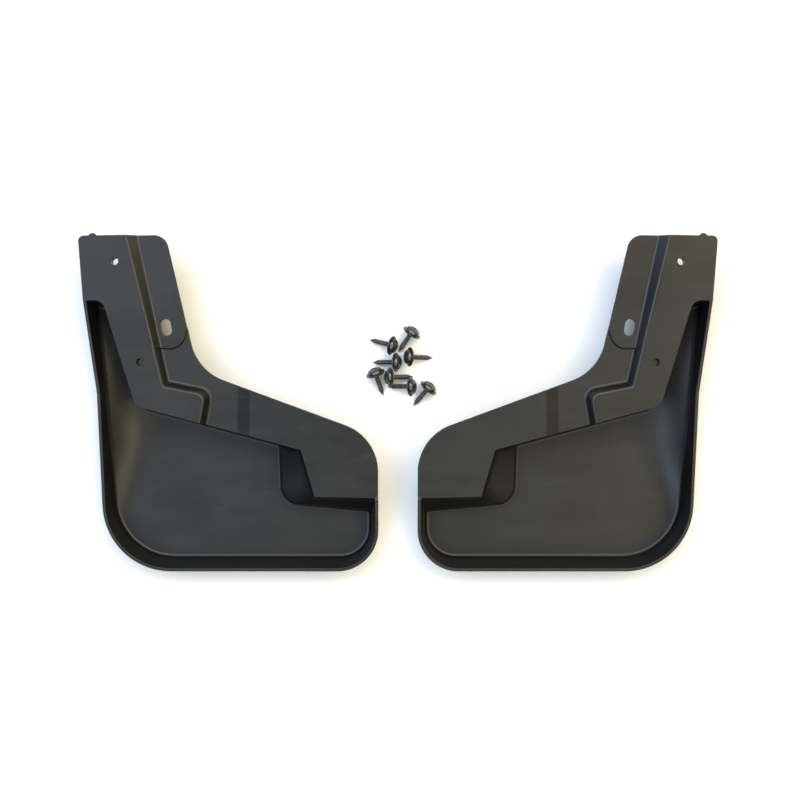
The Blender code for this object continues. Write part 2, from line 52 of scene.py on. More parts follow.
# ------------------------------------------------------------ heights and radii of a flap, in mm
SHEET = 2.8
PAD_TOP, TAB_TOP, PLATE_TOP, RIM_TOP = 45.0, 39.5, 38.0, 27.0
FLOOR_TOP = SHEET
SHELF_HIGH, SHELF_LOW = 34.0, 19.0
WALL_SHIFT, STEP_SHIFT, TAB_SHIFT, SHELF_SHIFT = 2.3, 1.2, 1.0, 2.0
EDGE_ROUND = 0.75  # rounding of the moulding's outer edges
LIP_ROUND = 0.6
FOOT_ROUND = 3.2  # fillet where the dish walls meet the floor
STEP_ROUND = 4.0
TAB_ROUND = 0.5
SHELF_ROUND = 1.6
BACK_ROUND = 0.4
RIM_EDGE = 1.5  # upright outer edge of the free rim
EDGE_CHANGE = 8.0
ARC_STEP = math.radians(4)
SMALL_ARC, SMALL_ARC_STEP = 5.0, math.radians(15)
RUN_STEP = 5.0
STRAIGHT = math.radians(7)
LEAST_RADIUS = 0.4
LEAST_WIDTH = 0.05
SAME_GAP = 1e-9
ON_LINE = 0.002
LONGER = 3.0  # open crease lines run on past their ends by this
INSIDE_ONLY = 1
CDT_EPSILON = 1e-4
FRONT_EDGE_STEPS = (0, -0.06, -0.22, -0.45, -0.75)  # lines beside a crease that carry its fillet
BACK_EDGE_STEPS = (0, -0.12, -0.4)
LIP_STEPS = (0.6, 0.35, 0.15, 0, -0.12)
FOOT_STEPS = (0.6, 0.3, 0, -0.5, -1.1, -1.8, -2.7)
SHELF_EDGE_STEPS = (1.5, 1.0, 0.5, 0.2, 0)
SHELF_FOOT_STEPS = (0, -0.2, -0.5, -1.0, -1.5)
STEP_STEPS = (-2.4, -1.7, -1.1, -0.6, -0.2, 0.2, 0.6, 1.1, 1.7, 2.4)
TAB_STEPS = (-0.3, 0, 0.3)

RAMP_POINT, RAMP_NORMAL = (212.3, -21.2), (0.888, 0.460)
RAMP_SLOPE, RAMP_BEND, RAMP_RUN, RAMP_END_BEND = 0.30, 20.0, 40.0, 14.0
COVE_CENTRE, COVE_RADIUS, COVE_LEAN, COVE_SLOPE = (186.3, -78.6), 50.0, 0.078, 0.55
COVE_LOW, COVE_HIGH, COVE_WIDE = -124.0, -28.0, 26.0
FLOOR_GRID = 4.0

CLIMB_LOW, CLIMB_HIGH = 10.0, 85.3
INNER_STEP_HIGH, INNER_STEP_LOW, INNER_CLIMB_LOW, INNER_STEP_TOP = -76.5, -79.5, -95.0, 31.0
OUTER_SIDE = 200.0
MIDDLE_U, MIDDLE_V = 230.0, -2.0  # half way between the pad and the outer rim
LEAN_HIGH, LEAN_LOW = 0.2, 0.6  # how that middle line leans outwards above and below there
TAB_LOW, TAB_HIGH = 44.0, 64.0
SHELF_END_U, SHELF_END_V = 112.0, -100.0

HOLES = ((231.5, 117.5), (210.5, 34.9))
HOLE_RADIUS, BOSS_RADIUS, BOSS_BOTTOM = 3.2, 5.6, 33.0
SLOT_CENTRE, SLOT_SIZE, SLOT_TURN = (190.0, 63.7), (8.2, 13.8), math.radians(-9)
HOLE_ROUND = 0.45
NIB_CENTRE, NIB_RADIUS, NIB_LOW, NIB_HIGH = (249.5, 136.9), 3.7, 42.6, 44.6
RIB_THICK, RIB_TOP, RIB_BOTTOM = 1.8, 43.3, 36.0
EDGE_TURN = math.radians(14.9)  # the plate's lower edge, from the inner end to the pad
HIDDEN_TOP = 43.6  # posts under the pad end inside its thickness
POST_ROUND = 0.5
NIB_ROUND = 0.8
GUSSET_ROUND = 0.35
FLAP_SMOOTH = math.radians(38)
PILL_SIDES = 40
ROUND_STEPS = 4
CLEARANCE = 3.0
GUSSETS = (((146.0, -17.0), 30.0), ((112.0, -26.0), 22.0), ((90.0, -31.9), 15.0))
GUSSET_THICK, GUSSET_ROOT, GUSSET_TOP, GUSSET_LOW = 2.0, 1.0, 36.4, 16.0

# each corner is (u, v, fillet radius); closed outlines run anticlockwise
SILHOUETTE = (
    (261.5, 138.4, 4.5),
    (190.8, 139.6, 12),
    (164.6, 28.2, 42),
    (16.3, -26.4, 41),
    (16.3, -138.2, 34),
    (242.7, -138.2, 57),
    (250.0, 10.0, 0),
    (257.2, 85.3, 0),
)
OPENING = (
    (254.5, 85.3, 1.0),
    (241.3, 85.3, 9),
    (214.4, -0.9, 12),
    (161.7, -15.2, 0),
    (157.6, -16.3, 0),
    (79.9, -37.0, 1.0),
    (68.5, -75.4, 1.0),
    (19.0, -76.5, 0),
    (19.0, -135.5, 31.5),
    (240.2, -135.5, 54.5),
    (247.3, 10.0, 0),
)
WALL_FOOT = (
    (250.6, 82.6, 1.0),
    (242.8, 82.6, 7),
    (216.5, -2.0, 14),
    (100.4, -33.3, 0),
    (81.2, -38.4, 1.0),
    (69.7, -77.0, 1.0),
    (19.8, -78.0, 0),
    (21.4, -88.5, 0),
    (23.6, -90.2, 0),
    (23.6, -128.6, 25),
    (236.3, -128.6, 50),
    (243.2, 10.0, 0),
)
PLATE_CORNERS = 8
SHELF_EDGE = ((98.8, -33.7, 0), (97.0, -81.6, 15), (21.4, -88.5, 0))
SHELF_FOOT = ((100.4, -33.3, 0), (98.6, -83.2, 16.5), (23.6, -90.2, 0))
PLATE_CORNER = ((83.0, -26.0, 0), (79.9, -37.0, 1.0), (68.5, -75.4, 1.0), (12.0, -76.5, 0))
STEP_TOP = ((222.6, 139.0, 0), (191.6, 15.8, 2), (157.0, 9.0, 8), (161.7, -15.2, 0))
STEP_FOOT = ((213.6, 139.2, 0), (188.4, 18.6, 2), (152.9, 11.9, 9), (157.6, -16.3, 0))
TAB_END = ((194.7, 46.9, 0), (178.0, 46.2, 13), (173.0, 63.5, 0))
TAB_FOOT = ((194.5, 46.0, 0), (177.4, 45.2, 13), (172.4, 61.0, 0))


# ------------------------------------------------------------ outlines
def meet(a, b, c, d):
    """Where the line through a and b crosses the line through c and d."""
    turn = (b - a).cross(d - c)
    return a + (b - a) * ((c - a).cross(d - c) / turn)


def lengthened(corners, reach):
    """An open outline whose two ends run on by reach."""
    points = [Vector(corner[:2]) for corner in corners]
    first = points[0] + (points[0] - points[1]).normalized() * reach
    last = points[-1] + (points[-1] - points[-2]).normalized() * reach
    return ((*first, 0), *corners[1:-1], (*last, 0))


def shifted(corners, shift, closed):
    """The corners of an outline that moves to the right of its travel by shift."""
    points = [Vector(corner[:2]) for corner in corners]
    edges = []
    for a, b in zip(points, points[1:] + points[:1] if closed else points[1:]):
        side = Vector((b.y - a.y, a.x - b.x)).normalized() * shift
        edges.append((a + side, b + side))
    moved = []
    for i in range(len(points)):
        if not closed and i in (0, len(points) - 1):
            moved.append(edges[0][0] if i == 0 else edges[-1][1])
            continue
        before, after = edges[i - 1], edges[i]
        turn = (before[1] - before[0]).angle(after[1] - after[0])
        moved.append((before[1] + after[0]) / 2 if turn < STRAIGHT else meet(*before, *after))
    return moved


def fillet(corner, to_last, to_next, radius):
    """The arc that rounds a corner."""
    half = to_last.angle(to_next) / 2
    start = corner + to_last * (radius / math.tan(half))
    centre = corner + (to_last + to_next).normalized() * (radius / math.sin(half))
    sweep = math.pi - 2 * half
    steps = max(round(sweep / ARC_STEP), 3)
    if radius < SMALL_ARC:
        steps = max(round(sweep / SMALL_ARC_STEP), 2)
    if to_last.cross(to_next) > 0:
        sweep = -sweep
    turns = [Matrix.Rotation(sweep * k / steps, 2) for k in range(steps + 1)]
    return [centre + turn @ (start - centre) for turn in turns]


def outline(corners, shift=0.0, closed=True):
    """Points along an outline with rounded corners, moved to the right by shift."""
    points = shifted(corners, shift, closed)
    drawn = []
    for i, here in enumerate(points):
        radius = corners[i][2]
        if radius == 0 or (not closed and i in (0, len(points) - 1)):
            drawn.append(here)
            continue
        to_last = (points[i - 1] - here).normalized()
        to_next = (points[(i + 1) % len(points)] - here).normalized()
        radius += shift if to_last.cross(to_next) < 0 else -shift
        drawn += fillet(here, to_last, to_next, max(radius, LEAST_RADIUS))
    return drawn


def divided(points, closed):
    """The same line with its long runs cut into short steps."""
    fine = []
    for a, b in zip(points, points[1:] + points[:1] if closed else points[1:]):
        count = max(math.ceil((b - a).length / RUN_STEP), 1)
        fine += [a.lerp(b, k / count) for k in range(count)]
    return fine if closed else fine + [points[-1]]


class Line:
    """A plan line that tells how far points are from it, positive on the left of its travel."""

    def __init__(self, corners, shift=0.0, closed=True):
        self.corners = corners
        self.shift = shift
        self.closed = closed
        points = outline(corners, shift, closed)
        ring = np.array(points + points[:1] if closed else points)
        self.starts, self.ends = ring[:-1], ring[1:]
        runs = np.hypot(*(self.ends - self.starts).T)
        self.passed = np.concatenate(((0.0,), np.cumsum(runs)[:-1]))
        self.length = runs.sum()

    def moved(self, offset):
        """The same line moved further to the right, cut into short steps."""
        return divided(outline(self.corners, self.shift + offset, self.closed), self.closed)

    def distance(self, points):
        nearest = np.full(len(points), np.inf)
        sign = np.ones(len(points))
        for start, end in zip(self.starts, self.ends):
            run = end - start
            off = points - start
            t = np.clip(off @ run / (run @ run), 0, 1)
            gap = np.hypot(*(off - t[:, None] * run).T)
            closer = gap < nearest - SAME_GAP
            nearest = np.where(closer, gap, nearest)
            left = run[0] * off[:, 1] - run[1] * off[:, 0] >= 0
            sign = np.where(closer, np.where(left, 1.0, -1.0), sign)
        if self.closed:
            sign = np.where(self.contains(points), 1.0, -1.0)
        return nearest * sign

    def travel(self, points):
        """How far along the line each point on it lies; not a number for points off the line."""
        found = np.full(len(points), np.nan)
        for start, end, passed in zip(self.starts, self.ends, self.passed):
            run = end - start
            off = points - start
            t = np.clip(off @ run / (run @ run), 0, 1)
            gap = np.hypot(*(off - t[:, None] * run).T)
            here = (gap < ON_LINE) & np.isnan(found)
            found[here] = passed + t[here] * np.hypot(*run)
        return np.where(found > self.length - ON_LINE, 0.0, found)

    def contains(self, points):
        odd = np.zeros(len(points), bool)
        x, y = points.T
        for (x0, y0), (x1, y1) in zip(self.starts, self.ends):
            if y0 != y1:
                crossing = x0 + (x1 - x0) * (y - y0) / (y1 - y0)
                odd ^= ((y0 > y) != (y1 > y)) & (x < crossing)
        return odd


# ------------------------------------------------------------ heights
def blend(low, high, share):
    """From low to high as share goes from 0 to 1."""
    return low + (high - low) * np.clip(share, 0, 1)


def soft_ramp(x, bend):
    """Zero before the bend, x itself after it, and a smooth curve between."""
    return np.where(np.abs(x) < bend, (x + bend) ** 2 / (4 * bend), np.maximum(x, 0))


def descent(x, width, drop, top_round, foot_round):
    """How far a wall has fallen at x past its top edge, with a fillet at the top and the foot."""
    width = np.maximum(width, LEAST_WIDTH)
    slope = drop / width
    angle = np.arctan(slope)
    top_reach = top_round * np.tan(angle / 2)
    foot_reach = foot_round * np.tan(angle / 2)
    fallen = np.clip(slope * x, 0, drop)
    from_top = x + top_reach
    crown = top_round - np.sqrt(np.maximum(top_round**2 - from_top**2, 0))
    fallen = np.where((from_top > 0) & (x < top_reach * np.cos(angle)), crown, fallen)
    to_foot = width - x + foot_reach
    hollow = drop - foot_round + np.sqrt(np.maximum(foot_round**2 - to_foot**2, 0))
    return np.where((to_foot > 0) & (width - x < foot_reach * np.cos(angle)), hollow, fallen)


def cove_rise(u, v):
    """The hollow curve that carries the floor up to the outer wall and round its corner."""
    out, up = u - COVE_CENTRE[0], v - COVE_CENTRE[1]
    from_wall = COVE_RADIUS - np.where(up < 0, np.hypot(out, up), out - up * COVE_LEAN)
    share = np.clip((v - COVE_LOW) / (COVE_HIGH - COVE_LOW), 0, 1)
    reach = np.maximum(COVE_WIDE * share - np.maximum(from_wall, 0), 0)
    rise = COVE_SLOPE * reach**2 / (2 * COVE_WIDE)
    return np.where(out < 0, 0.0, rise)


class Side:
    """One side of the moulding: its crease lines, and its height anywhere in the plan."""

    def __init__(self, back):
        self.back = back
        wall = WALL_SHIFT if back else 0.0
        step = -STEP_SHIFT if back else 0.0
        tab = TAB_SHIFT if back else 0.0
        shelf = SHELF_SHIFT if back else 0.0
        self.silhouette = Line(SILHOUETTE)
        if back:
            self.opening = Line(lengthened(OPENING[:PLATE_CORNERS], LONGER), wall, closed=False)
        else:
            self.opening = Line(OPENING)
        self.foot = Line(WALL_FOOT, wall)
        self.plate_corner = Line(PLATE_CORNER, wall, closed=False)
        self.shelf_edge = Line(lengthened(SHELF_EDGE, LONGER), shelf, closed=False)
        self.shelf_foot = Line(lengthened(SHELF_FOOT, LONGER), shelf, closed=False)
        self.step_top = Line(lengthened(STEP_TOP, LONGER), step, closed=False)
        self.step_foot = Line(lengthened(STEP_FOOT, LONGER), step, closed=False)
        self.tab_end = Line(lengthened(TAB_END, LONGER), tab, closed=False)
        self.tab_foot = Line(lengthened(TAB_FOOT, LONGER), tab, closed=False)

    def plates(self, p):
        """The pad, its step, the tab and the long plate."""
        v = p[:, 1]
        past, foot = self.tab_end.distance(p), self.tab_foot.distance(p)
        tab = descent(past, past - foot, TAB_TOP - PLATE_TOP, TAB_ROUND, TAB_ROUND)
        low = np.where(v > TAB_LOW, TAB_TOP - np.where(v > TAB_HIGH, 0, tab), PLATE_TOP)
        past, foot = -self.step_top.distance(p), -self.step_foot.distance(p)
        return PAD_TOP - descent(past, past - foot, PAD_TOP - low, STEP_ROUND, STEP_ROUND)

    def rims(self, p):
        """The free rim of the dish, which climbs to the pad outside and to the plate inside."""
        u, v = p.T
        outer = blend(RIM_TOP, PAD_TOP, (v - CLIMB_LOW) / (CLIMB_HIGH - CLIMB_LOW))
        low = (v - INNER_CLIMB_LOW) / (INNER_STEP_LOW - INNER_CLIMB_LOW)
        step = (v - INNER_STEP_LOW) / (INNER_STEP_HIGH - INNER_STEP_LOW)
        inner = blend(blend(RIM_TOP, INNER_STEP_TOP, low), PLATE_TOP, step)
        return np.where(u > OUTER_SIDE, outer, inner)

    def tops(self, p):
        """Whatever lies outside the dish: plates on the mounting side, a rim elsewhere."""
        u, v = p.T
        middle = MIDDLE_U + (v - MIDDLE_V) * np.where(v > MIDDLE_V, LEAN_HIGH, LEAN_LOW)
        rim = (v < CLIMB_HIGH) & (u > middle) | (v < INNER_STEP_HIGH)
        return np.where(rim, self.rims(p), self.plates(p))

    def bottoms(self, p):
        """The floor, and on it the shelf beside the plate's square corner."""
        u, v = p.T
        along = (p - np.array(RAMP_POINT)) @ np.array(RAMP_NORMAL)
        rise = soft_ramp(along, RAMP_BEND) - soft_ramp(along - RAMP_RUN, RAMP_END_BEND)
        floor = FLOOR_TOP + RAMP_SLOPE * rise + cove_rise(u, v)
        past, foot = self.shelf_edge.distance(p), self.shelf_foot.distance(p)
        from_plate = np.maximum(self.plate_corner.distance(p), 0)
        share = from_plate / np.maximum(from_plate + np.maximum(-past, 0), LEAST_WIDTH)
        shelf = blend(SHELF_HIGH, SHELF_LOW, share)
        shelf = shelf - descent(past, past - foot, shelf - floor, SHELF_ROUND, SHELF_ROUND)
        return np.where((u < SHELF_END_U) & (v > SHELF_END_V), shelf, floor)

    def heights(self, points):
        """The height of this side over each plan point."""
        p = np.array(points, float)
        edge = np.maximum(self.silhouette.distance(p), 0)
        past_foot = self.foot.distance(p)
        past = self.opening.distance(p)
        top, bottom = self.tops(p), self.bottoms(p)
        if self.back:
            top = top + blend(0, SHEET - RIM_EDGE, past / EDGE_CHANGE)
            past = np.where(past > 0, np.minimum(past, edge), past)
        z = top - descent(past, past - past_foot, top - bottom, LIP_ROUND, FOOT_ROUND)
        z = np.where(past_foot > FOOT_ROUND, bottom, z)
        radius = BACK_ROUND if self.back else EDGE_ROUND
        rounded = radius - np.sqrt(np.maximum(radius**2 - np.maximum(radius - edge, 0) ** 2, 0))
        return z - SHEET + rounded if self.back else z - rounded

    def lines(self):
        """Every line that the triangles must follow, and whether it is closed."""
        edge_steps = BACK_EDGE_STEPS if self.back else FRONT_EDGE_STEPS
        families = (
            (self.silhouette, edge_steps),
            (self.opening, LIP_STEPS),
            (self.foot, FOOT_STEPS),
            (self.shelf_edge, SHELF_EDGE_STEPS),
            (self.shelf_foot, SHELF_FOOT_STEPS),
            (self.step_top, STEP_STEPS),
            (self.step_foot, STEP_STEPS),
            (self.tab_end, TAB_STEPS),
            (self.tab_foot, TAB_STEPS),
        )
        return [(line.moved(k), line.closed) for line, steps in families for k in steps]

    def floor_points(self):
        """A square grid of points over the dish floor."""
        u0, v0 = np.min(self.foot.starts, axis=0)
        u1, v1 = np.max(self.foot.starts, axis=0)
        grid = np.stack(np.meshgrid(np.arange(u0, u1, FLOOR_GRID), np.arange(v0, v1, FLOOR_GRID)), -1)
        grid = grid.reshape(-1, 2)
        return [Vector(p) for p in grid[self.foot.distance(grid) > FOOT_ROUND]]


# ------------------------------------------------------------ the two skins of a flap
def add_skin(mesh, side):
    """Add one triangulated side to a mesh and return (travel, vertex) along its silhouette."""
    flat, edges = [], []
    for points, closed in side.lines():
        first = len(flat)
        flat += points
        edges += [(k, k + 1) for k in range(first, len(flat) - 1)]
        if closed:
            edges.append((len(flat) - 1, first))
    flat += side.floor_points()
    found, _, faces, _, _, _ = delaunay_2d_cdt(flat, edges, [], INSIDE_ONLY, CDT_EPSILON)
    plan = np.array(found)
    heights = side.heights(plan)
    verts = [mesh.verts.new((*p, z)) for p, z in zip(plan, heights)]
    middles = np.array([plan[face].mean(0) for face in faces])
    for face, kept in zip(faces, side.silhouette.contains(middles)):
        if kept:
            corners = [verts[k] for k in face]
            mesh.faces.new(reversed(corners) if side.back else corners)
    travel = side.silhouette.travel(plan)
    on_edge = np.flatnonzero(~np.isnan(travel))
    return sorted(((travel[k], verts[k]) for k in on_edge), key=lambda entry: entry[0])


def add_edge(mesh, upper, lower, length):
    """Join the two skins along the silhouette, where each may have vertices of its own."""
    upper = upper + [(upper[0][0] + length, upper[0][1])]
    lower = lower + [(lower[0][0] + length, lower[0][1])]
    i = j = 0
    while i < len(upper) - 1 or j < len(lower) - 1:
        next_upper = upper[i + 1][0] if i < len(upper) - 1 else np.inf
        next_lower = lower[j + 1][0] if j < len(lower) - 1 else np.inf
        if abs(next_upper - next_lower) < ON_LINE:
            mesh.faces.new((upper[i][1], lower[j][1], lower[j + 1][1], upper[i + 1][1]))
            i, j = i + 1, j + 1
        elif next_upper < next_lower:
            mesh.faces.new((upper[i][1], lower[j][1], upper[i + 1][1]))
            i += 1
        else:
            mesh.faces.new((upper[i][1], lower[j][1], lower[j + 1][1]))
            j += 1


def flap_shell():
    """The closed moulding of the right flap, in its plan coordinates."""
    mesh = bmesh.new()
    front, back = Side(back=False), Side(back=True)
    upper, lower = add_skin(mesh, front), add_skin(mesh, back)
    add_edge(mesh, upper, lower, front.silhouette.length)
    loose = [vert for vert in mesh.verts if not vert.link_faces]
    bmesh.ops.delete(mesh, geom=loose, context="VERTS")
    bmesh.ops.recalc_face_normals(mesh, faces=mesh.faces)
    return mesh


# ------------------------------------------------------------ solids joined to a flap
def quarter(radius):
    """Steps round a quarter circle, as (inset, drop) pairs from its flat face to its side."""
    if radius == 0:
        return [(0.0, 0.0)]
    turns = [math.pi / 2 * k / ROUND_STEPS for k in range(ROUND_STEPS + 1)]
    return [(radius * (1 - math.sin(turn)), radius * (1 - math.cos(turn))) for turn in turns]


def pill(centre, reach, turn, radius):
    """Plan points round a circle, or round a slot whose two centres lie reach from the middle."""
    along = Vector((-math.sin(turn), math.cos(turn)))
    points = []
    for k in range(PILL_SIDES):
        angle = turn + 2 * math.pi * (k + 0.5) / PILL_SIDES
        side = 1 if k < PILL_SIDES / 2 else -1
        out = Vector((math.cos(angle), math.sin(angle))) * radius
        points.append(Vector(centre) + along * reach * side + out)
    return points


def add_loft(mesh, rings):
    """A closed solid through a stack of (plan points, height) rings, from the top down."""
    rows = [[mesh.verts.new((p.x, p.y, height)) for p in points] for points, height in rings]
    count = len(rows[0])
    for upper, lower in zip(rows, rows[1:]):
        for k in range(count):
            j = (k + 1) % count
            mesh.faces.new((upper[k], lower[k], lower[j], upper[j]))
    mesh.faces.new(rows[0])
    mesh.faces.new(reversed(rows[-1]))


def add_post(mesh, centre, reach, turn, radius, top, bottom, round_top=0.0, round_bottom=0.0):
    """An upright post with rounded ends: a boss, a rib or the locating nib."""
    rings = []
    for inset, drop in quarter(round_top):
        rings.append((pill(centre, reach, turn, radius - inset), top - drop))
    for inset, drop in reversed(quarter(round_bottom)):
        rings.append((pill(centre, reach, turn, radius - inset), bottom + drop))
    add_loft(mesh, rings)


def add_cut(mesh, centre, reach, turn, radius, top, bottom):
    """A through hole whose two mouths flare into a small radius."""
    rings = [(pill(centre, reach, turn, radius + HOLE_ROUND), top + CLEARANCE)]
    for flare, drop in quarter(HOLE_ROUND):
        rings.append((pill(centre, reach, turn, radius + flare), top - drop))
    for flare, drop in reversed(quarter(HOLE_ROUND)):
        rings.append((pill(centre, reach, turn, radius + flare), bottom + drop))
    rings.append((pill(centre, reach, turn, radius + HOLE_ROUND), bottom - CLEARANCE))
    add_loft(mesh, rings)


def add_gusset(mesh, foot, reach):
    """A triangular web under the plate, from the dish wall out towards the free edge."""
    across = Vector((math.cos(EDGE_TURN), math.sin(EDGE_TURN)))
    out = Vector((-across.y, across.x))
    profile = ((-GUSSET_ROOT, GUSSET_TOP), (reach, GUSSET_TOP), (-GUSSET_ROOT, GUSSET_LOW))
    ends = []
    for half in (-GUSSET_THICK / 2, GUSSET_THICK / 2):
        plan = [Vector(foot) + out * distance + across * half for distance, _ in profile]
        ends.append([mesh.verts.new((*at, height)) for at, (_, height) in zip(plan, profile)])
    faces = [mesh.faces.new(ends[0]), mesh.faces.new(reversed(ends[1]))]
    for k in range(len(profile)):
        j = (k + 1) % len(profile)
        faces.append(mesh.faces.new((ends[0][k], ends[1][k], ends[1][j], ends[0][j])))
    bmesh.ops.recalc_face_normals(mesh, faces=faces)
    free_edge = [mesh.edges.get((end[1], end[2])) for end in ends]
    bmesh.ops.bevel(mesh, geom=free_edge, offset=GUSSET_ROUND, segments=3, profile=0.5, affect="EDGES")


# ------------------------------------------------------------ objects
def add_object(name, mesh):
    made = bpy.data.objects.new(name, mesh)
    bpy.context.scene.collection.objects.link(made)
    return made


def from_bmesh(name, built):
    mesh = bpy.data.meshes.new(name)
    built.to_mesh(mesh)
    built.free()
    return add_object(name, mesh)


def baked(obj):
    """The object's mesh with every modifier applied; the object itself goes away."""
    bpy.context.view_layer.update()
    shown = obj.evaluated_get(bpy.context.evaluated_depsgraph_get())
    mesh = bpy.data.meshes.new_from_object(shown)
    bpy.data.objects.remove(obj)
    return mesh


def combined(obj, tool, operation):
    """The object after a Boolean with one tool, which goes away."""
    step = obj.modifiers.new(operation, "BOOLEAN")
    step.operation = operation
    step.object = tool
    step.solver = "EXACT"
    result = add_object(obj.name, baked(obj))
    bpy.data.objects.remove(tool)
    return result


def under_parts():
    """Bosses, gussets and nib; then the rib that ties the bosses together."""
    posts, rib = bmesh.new(), bmesh.new()
    for hole in HOLES:
        add_post(posts, hole, 0, 0, BOSS_RADIUS, HIDDEN_TOP, BOSS_BOTTOM, round_bottom=POST_ROUND)
    add_post(posts, NIB_CENTRE, 0, 0, NIB_RADIUS, NIB_HIGH, NIB_LOW, NIB_ROUND, NIB_ROUND)
    for foot, reach in GUSSETS:
        add_gusset(posts, foot, reach)
    along = Vector(HOLES[0]) - Vector(HOLES[1])
    middle = (Vector(HOLES[0]) + Vector(HOLES[1])) / 2
    turn = math.atan2(-along.x, along.y)
    reach = along.length / 2 - BOSS_RADIUS
    add_post(rib, middle, reach, turn, RIB_THICK / 2, RIB_TOP, RIB_BOTTOM, round_bottom=POST_ROUND)
    return from_bmesh("posts", posts), from_bmesh("rib", rib)


def openings():
    """The two screw holes and the adjusting slot."""
    cuts = bmesh.new()
    for hole in HOLES:
        add_cut(cuts, hole, 0, 0, HOLE_RADIUS, PAD_TOP, BOSS_BOTTOM)
    wide, long = SLOT_SIZE
    add_cut(cuts, SLOT_CENTRE, (long - wide) / 2, SLOT_TURN, wide / 2, TAB_TOP, TAB_TOP - SHEET)
    return from_bmesh("cuts", cuts)


def flap_mesh():
    """The finished right flap in its plan coordinates, in millimetres."""
    flap = from_bmesh("flap", flap_shell())
    posts, rib = under_parts()
    flap = combined(flap, posts, "UNION")
    flap = combined(flap, rib, "UNION")
    flap = combined(flap, openings(), "DIFFERENCE")
    built = bmesh.new()
    built.from_mesh(flap.data)
    bpy.data.objects.remove(flap)
    return built


def make_flap(built, name, side, finish):
    """Put the moulding at its place on one side; the left flap is the mirror image."""
    low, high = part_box(name)
    inner = low.x if side > 0 else high.x
    place = Matrix.Translation((inner, low.y, 0)) @ Matrix.Diagonal((side * MM, MM, MM, 1))
    plan_low = Vector((SILHOUETTE[3][0], SILHOUETTE[5][1], 0))
    own = built.copy()
    bmesh.ops.transform(own, matrix=place @ Matrix.Translation(-plan_low), verts=own.verts)
    if side < 0:
        bmesh.ops.reverse_faces(own, faces=own.faces)
    flap = from_bmesh(name + "_moulding", own)
    finish_shading(flap, FLAP_SMOOTH)
    flap.data.materials.clear()
    flap.data.materials.append(finish)
    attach(flap, name)
    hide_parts(name)


def finish_shading(obj, angle):
    """Smooth shading with sharp edges kept, and normals that follow the large faces."""
    obj.data.shade_smooth()
    obj.data.set_sharp_from_angle(angle=angle)
    weighted = obj.modifiers.new("weighted", "WEIGHTED_NORMAL")
    weighted.keep_sharp = True


# ------------------------------------------------------------ screws and washers
HEAD_RADIUS, HEAD_HEIGHT, HEAD_BRIM = 6.3, 4.0, 0.7
NECK_RADIUS, THREAD_RADIUS, THREAD_PITCH = 1.5, 2.25, 1.6
SHANK_LENGTH, THREAD_START, TAPER_START = 22.0, 1.6, 17.0
THREAD_RUN_IN = 1.2
POINT_RADIUS = 0.12
CREST_LAND, CREST_FOOT = 0.12, 0.30  # from the crest's middle, in shares of the pitch
SCREW_SIDES = 28
SHANK_ROWS = 160
DOME_ROWS = 12
BRIM_ROUND = 0.35
NECK_FILLET = 0.4
RECESS_WIDTH, RECESS_LENGTH, RECESS_DEPTH, RECESS_TAPER = 1.3, 6.0, 2.6, 0.45
RECESS_ROUND = 0.12
RECESS_OVERRUN = 1.0  # the recess's cutter stands above the dome by this
WASHER_TOP, WASHER_BOTTOM, WASHER_LIP = -0.2, -1.4, 0.35
WASHER_INNER, WASHER_FLAT, WASHER_RADIUS = 1.8, 6.4, 8.2
WASHER_CHAMFER, WASHER_HEEL = 0.1, 0.3
WASHER_SIDES = 72
RIM_STEPS = 4
ROLLS = (20, 50, 10, 65, 35, 80, 5, 40)  # degrees that each screw is turned about its own axis
SCREW_SMOOTH = math.radians(50)


def shank_radius(depth, turn):
    """The shank's radius at a depth below the head and a turn (0 to 1) about the axis."""
    phase = (depth / THREAD_PITCH - turn) % 1
    crest = min(max((CREST_FOOT - abs(phase - 0.5)) / (CREST_FOOT - CREST_LAND), 0.0), 1.0)
    grown = min(max((depth - THREAD_START) / THREAD_RUN_IN, 0), 1)
    radius = NECK_RADIUS + (THREAD_RADIUS - NECK_RADIUS) * crest * grown
    left = min((SHANK_LENGTH - depth) / (SHANK_LENGTH - TAPER_START), 1)
    return radius * left + POINT_RADIUS * (1 - left)


def screw_rows():
    """Rows of (height, radius at each side) from the dome down to the point."""
    rows = []
    for k in range(1, DOME_ROWS + 1):
        turn = math.pi / 2 * k / DOME_ROWS
        rise = (HEAD_HEIGHT - HEAD_BRIM) * math.cos(turn)
        rows.append((HEAD_BRIM + rise, HEAD_RADIUS * math.sin(turn)))
    rows += [(inset, HEAD_RADIUS - drop) for inset, drop in quarter(BRIM_ROUND)]
    rows = [(height, [radius] * SCREW_SIDES) for height, radius in rows]
    for flare, drop in quarter(NECK_FILLET):
        rows.append((-drop, [NECK_RADIUS + flare] * SCREW_SIDES))
    for k in range(1, SHANK_ROWS + 1):
        depth = NECK_FILLET + (SHANK_LENGTH - NECK_FILLET) * k / SHANK_ROWS
        rows.append((-depth, [shank_radius(depth, i / SCREW_SIDES) for i in range(SCREW_SIDES)]))
    return rows


